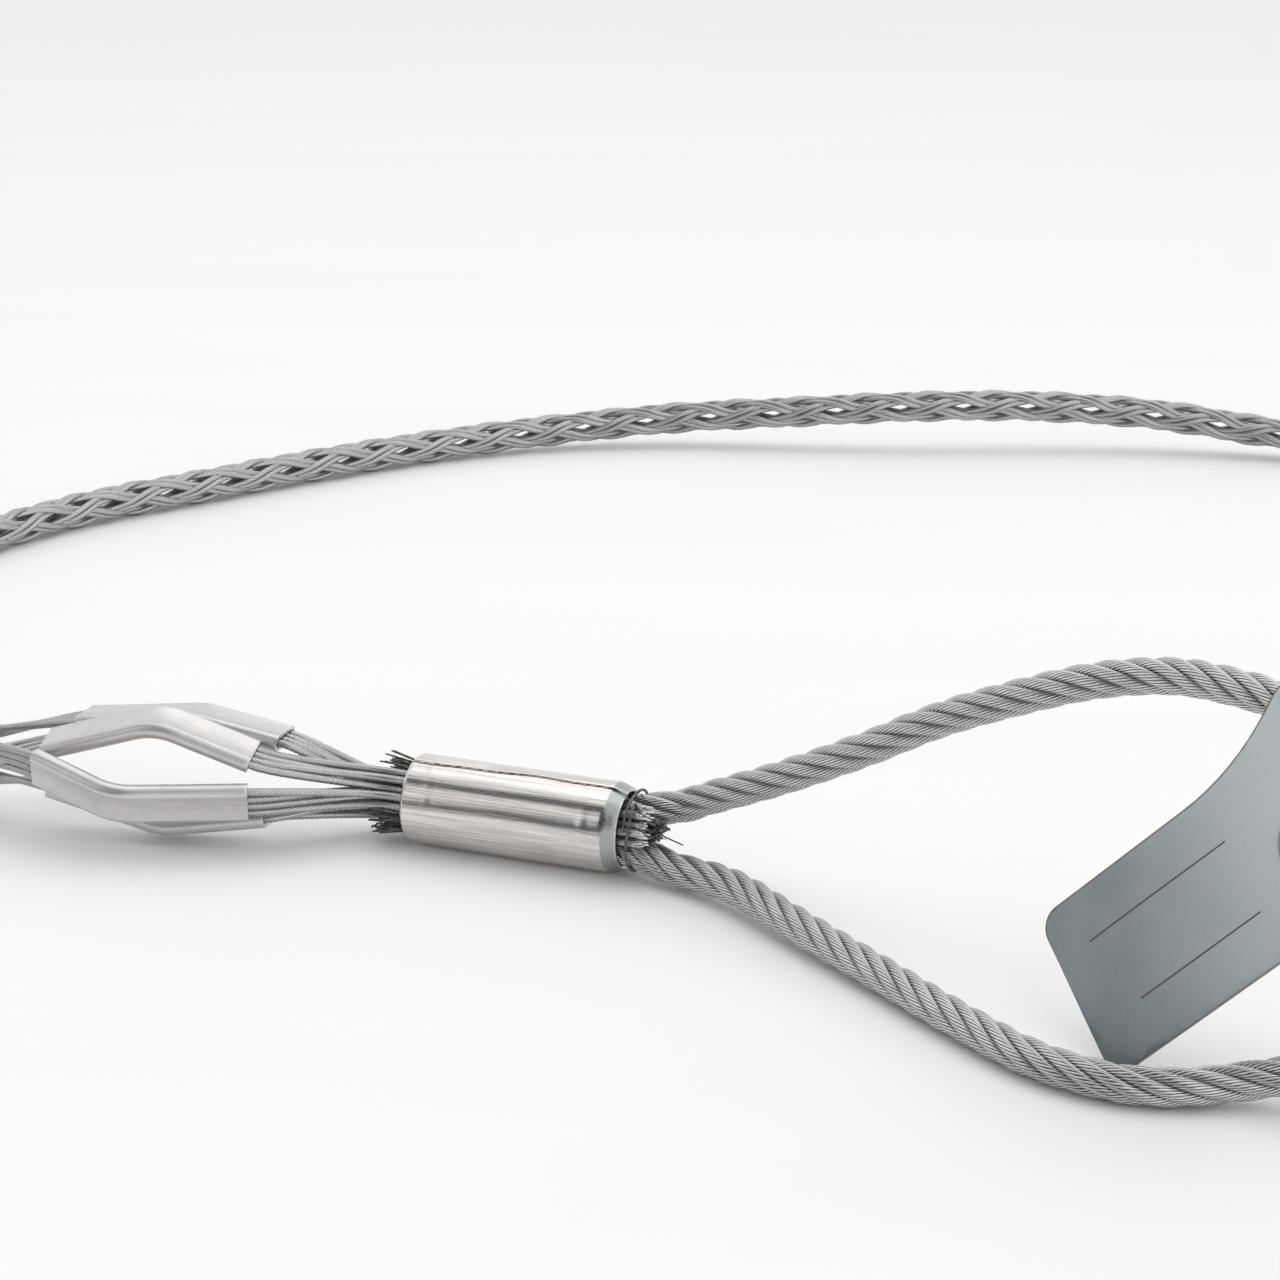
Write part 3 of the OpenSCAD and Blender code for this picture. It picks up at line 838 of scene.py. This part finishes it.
def makeTag(size):
    outline, middleR = tagOutline(size)
    curve = bpy.data.curves.new("tagBlank", "CURVE")
    curve.dimensions, curve.fill_mode = "2D", "BOTH"
    edge = curve.splines.new("POLY")
    edge.points.add(len(outline) - 1)
    for point, (x, y) in zip(edge.points, outline):
        point.co = (x * mm, y * mm, 0, 1)
    edge.use_cyclic_u = True
    piece = bpy.data.objects.new("hungTag", curve)
    bpy.context.scene.collection.objects.link(piece)
    bpy.ops.object.select_all(action="DESELECT")
    piece.select_set(True)
    bpy.context.view_layer.objects.active = piece
    bpy.ops.object.convert(target="MESH")
    piece = bpy.context.object
    bpy.ops.object.mode_set(mode="EDIT")
    for at in np.arange(-24, 66, 1.0):
        if at < 4 or at % 3 == 0:
            bpy.ops.mesh.select_all(action="SELECT")
            bpy.ops.mesh.bisect(plane_co=(0, at * mm, 0), plane_no=(0, 1, 0))
    for at in np.arange(-25, 21, size["cellSize"]):
        bpy.ops.mesh.select_all(action="SELECT")
        bpy.ops.mesh.bisect(plane_co=(at * mm, 0, 0), plane_no=(1, 0, 0))
    bpy.ops.mesh.select_all(action="SELECT")
    bpy.ops.mesh.remove_doubles(threshold=1e-6)
    bpy.ops.object.mode_set(mode="OBJECT")
    sheet = piece.modifiers.new("sheet", "SOLIDIFY")
    sheet.thickness, sheet.offset = size["sheet"] * mm, 0
    burr = piece.modifiers.new("edge", "BEVEL")
    burr.width, burr.segments = 0.12 * mm, 2
    burr.limit_method, burr.angle_limit = "ANGLE", math.radians(60)
    bpy.ops.object.modifier_apply(modifier="sheet")
    bpy.ops.object.modifier_apply(modifier="edge")
    bpy.ops.object.mode_set(mode="EDIT")
    bpy.ops.mesh.select_all(action="SELECT")
    bpy.ops.mesh.normals_make_consistent(inside=False)
    bpy.ops.object.mode_set(mode="OBJECT")

    flat = pointsOf(piece.data)
    x, y, thick = flat[:, 0], flat[:, 1], flat[:, 2]
    after = np.roll(outline, -1, axis=0)
    run = after - outline
    to = flat[:, None, :2] - outline[None, :, :]
    along = np.clip((to * run).sum(2) / np.maximum((run ** 2).sum(1), 1e-9), 0, 1)
    gap = np.linalg.norm(to - along[:, :, None] * run, axis=2).min(axis=1)
    c, s = math.cos(math.radians(size["turn"])), math.sin(math.radians(size["turn"]))
    u = (x + size["curlWidth"] / 2) * c + (y - size["neck"]) * s
    v = -(x + size["curlWidth"] / 2) * s + (y - size["neck"]) * c
    curl = np.clip(-y, 0, None) / middleR
    reach = middleR + thick
    place = np.stack([x, np.where(y < 0, -reach * np.sin(curl), y), -reach * np.cos(curl)], axis=1)
    place[:, 2] += np.where(y > 0, 0.1 * np.sin(u / 5) * np.sin(v / 7 + 1), 0)

    at = np.array(eyeRoute[size["curlPoint"]], float)
    axisX = unit(np.subtract(
        eyeRoute[size["curlPoint"] + 1], eyeRoute[size["curlPoint"] - 1]).astype(float))
    axisY = unit(squareTo(np.array(size["lean"]), axisX))
    axisZ = np.cross(axisX, axisY)
    points = at + place @ np.stack([axisX, axisY, axisZ])
    piece.data.vertices.foreach_set("co", toPart(points).ravel())
    piece.data.update()
    bpy.ops.object.mode_set(mode="EDIT")
    bpy.ops.mesh.select_all(action="SELECT")
    bpy.ops.mesh.normals_make_consistent(inside=False)
    bpy.ops.object.mode_set(mode="OBJECT")
    storeVectors(piece.data, "tagPlace", np.stack([u, v, thick], axis=1))
    storeFloats(piece.data, "edgeGap", gap + 0.2 * np.clip((u - 3) / 3, 0, 1))
    piece.data.materials.append(tagSheet)
    bpy.ops.object.shade_smooth_by_angle(angle=math.radians(40))
    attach(piece, "tag")
    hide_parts("tag")


makeTag(tag)
print("tag curled")


# ---- binding wire and the cut wire ends on both sides of the ferrule
fray = {
    "wireRadius": 0.19, "tailReach": 8.2, "tailWires": 10, "knotWires": 52, "strandEndWires": 6,
    "bindingDiameter": 0.55, "bindingRadius": 7.5, "knotFrom": (4.4, -1.7, 2.0),
    "knotTo": (7.4, 1.7, 3.9),
}


def shortWire(start, direction, length, bow, radius):
    direction = unit(direction)
    side = unit(np.cross(direction, (random.uniform(-1, 1), random.uniform(-1, 1), 0.4)))
    line = [
        start + direction * length * t + side * bow * math.sin(t * 1.9) for t in (0, 0.3, 0.65, 1)]
    return sweptWire(
        np.array(line), radius, plainRound(6), 0, random.random() * 9,
        taper=np.array((1, 1, 1, 0.85)))


tailSweeps = []
for side in (1, -1):
    for n in range(6):
        turn = math.radians(60 * n + 20 * side)
        cy = side * eyeRope["legOffset"] + 2.0 * math.cos(turn)
        cz = 2.0 * math.sin(turn)
        for w in range(fray["tailWires"]):
            spin = 2 * math.pi * w / fray["tailWires"]
            off = 0.8 if w % 3 else 0.35
            y, z = cy + off * math.cos(spin), cz + off * math.sin(spin)
            splay = 0.10 * random.uniform(0.2, 1.6)
            aim = (
                -axisOut + splay * (math.cos(turn) * axisLegs + math.sin(turn) * axisAcross)
                + 0.09 * random.uniform(-1, 1) * axisLegs
                + 0.09 * random.uniform(-1, 1) * axisAcross + 0.04 * side * axisLegs)
            reach = 3 + fray["tailReach"] * random.uniform(0.72, 1.0)
            tailSweeps.append(shortWire(
                fromFerrule(-ferrule["length"] + 3, y, z), aim, reach,
                random.uniform(-0.4, 0.4), fray["wireRadius"]))
tailSweeps.append(shortWire(
    fromFerrule(-ferrule["length"] - 3, -4.6, 2.2), -axisOut - 0.75 * axisLegs, 4.8, 0.3, 0.17))
tailPiece = wirePiece("cutRopeTails", tailSweeps, cutWire)
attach(tailPiece, "grip")

endSweeps, knotSweeps = [], []
for n in range(16):
    k, row = divmod(n, 4)
    slotY, slotZ = slots[k][slotOrder[k][row]]
    y, z = quarters[k][0] * slotY, quarters[k][1] * slotZ
    for w in range(fray["strandEndWires"]):
        spin = 2 * math.pi * w / fray["strandEndWires"]
        aim = (
            axisOut + 0.08 * random.uniform(-1, 1) * axisLegs
            - 0.02 * random.uniform(-0.4, 1) * z * axisAcross)
        endSweeps.append(shortWire(
            fromFerrule(
                strand["endReach"] - 0.8, y + 0.5 * math.cos(spin), z + 0.5 * math.sin(spin)),
            aim, random.uniform(1.2, 3.2), random.uniform(-0.2, 0.2), fray["wireRadius"]))
endPiece = wirePiece("strandEndWires", endSweeps, strandWire)
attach(endPiece, "grip")
for n in range(fray["knotWires"]):
    centre = fromFerrule(*[
        random.uniform(low, high) for low, high in zip(fray["knotFrom"], fray["knotTo"])])
    aim = (
        random.uniform(-0.2, 1) * axisOut + random.uniform(-1, 1) * axisLegs
        + random.uniform(-0.5, 0.6) * axisAcross)
    knotSweeps.append(shortWire(
        centre - unit(aim), aim, random.uniform(1.2, 2.6), random.uniform(-0.8, 0.8),
        random.uniform(0.18, 0.3)))
knotSweeps.append(shortWire(fromFerrule(7, -0.6, 2.4), axisOut - 0.25 * axisLegs, 5.0, 0.3, 0.15))
knotPiece = wirePiece("bindingKnot", knotSweeps, cutWire)
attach(knotPiece, "grip")

loop = []
for t in np.linspace(-0.3, 2 * math.pi + 0.5, 90):
    r = fray["bindingRadius"] + 0.12 * math.sin(5 * t)
    loop.append(fromFerrule(
        1.2 + 0.5 * t / math.pi, r * math.sin(t), (r - 0.6) * math.cos(t)))
loop.append(fromFerrule(4.4, 1.2, 5.6))
loop.append(fromFerrule(6.6, 0.4, 4.6))
twist = sweptWire(evenly(smoothLine(loop, 2), 0.4), fray["bindingDiameter"] / 2, plainRound(10))
bindingPiece = wirePiece("twistedBindingWire", [twist], cutWire)
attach(bindingPiece, "grip")
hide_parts("binding_wire")
print("ends bound")


# ---- stage, light and finish
floorHigh = -bearing[2] * mm
bpy.ops.object.select_all(action="DESELECT")
bpy.ops.mesh.primitive_plane_add(size=60, location=(0, 0, floorHigh))
table = bpy.context.object
table.name = "paleTable"


def tableFinish():
    finish = Finish("palePaintedTable")
    place = finish.place()
    brush = finish.noise(place, 14, 4, (0.25, 1.6, 1))
    tone = finish.mix(
        finish.spread(brush, 0, 1, 0.35, 0.7), (0.98, 0.978, 0.975), (0.96, 0.957, 0.953))
    finish.join(tone, finish.shader.inputs["Base Color"])
    finish.fixed(Roughness=0.6)
    finish.bump(brush, 0.0005, 0.1)
    return finish.material


table.data.materials.append(tableFinish())

world = bpy.data.worlds.new("brightRoom")
bpy.context.scene.world = world
world.use_nodes = True
sky = world.node_tree
backdrop = sky.nodes["Background"]
coordinates = sky.nodes.new("ShaderNodeTexCoord")

# The unlit part of the room behind the camera, seen as the dark band in the ferrule
towards = sky.nodes.new("ShaderNodeVectorMath")
towards.operation = "DOT_PRODUCT"
sky.links.new(coordinates.outputs["Generated"], towards.inputs[0])
towards.inputs[1].default_value = (-0.57, -0.63, 0.53)
shade = sky.nodes.new("ShaderNodeMapRange")
shade.interpolation_type = "SMOOTHSTEP"
sky.links.new(towards.outputs["Value"], shade.inputs[0])
for socket, value in zip(shade.inputs[1:5], (0.74, 0.85, 0.0, 0.97)):
    socket.default_value = value
dimmed = sky.nodes.new("ShaderNodeMix")
dimmed.data_type = "RGBA"
sky.links.new(shade.outputs[0], dimmed.inputs[0])
dimmed.inputs[6].default_value = (1, 1, 1, 1)
dimmed.inputs[7].default_value = (0.05, 0.05, 0.055, 1)
sky.links.new(dimmed.outputs[2], backdrop.inputs[0])
backdrop.inputs[1].default_value = 1.02


def softLight(name, place, aim, size, power):
    bpy.ops.object.light_add(type="AREA", location=place)
    light = bpy.context.object
    light.name = name
    light.data.shape = "RECTANGLE"
    light.data.size, light.data.size_y = size
    light.data.energy = power
    light.rotation_euler = (Vector(aim) - Vector(place)).to_track_quat("-Z", "Y").to_euler()


softLight("topPanel", (0.1, 0.35, 0.9), (-0.1, 0.0, 0), (1.2, 0.8), 1.8)
softLight("leftPanel", (-0.9, -0.4, 0.5), (-0.1, 0, 0), (0.5, 0.7), 1.0)
bpy.context.scene.view_settings.view_transform = "Standard"
print("stage lit")
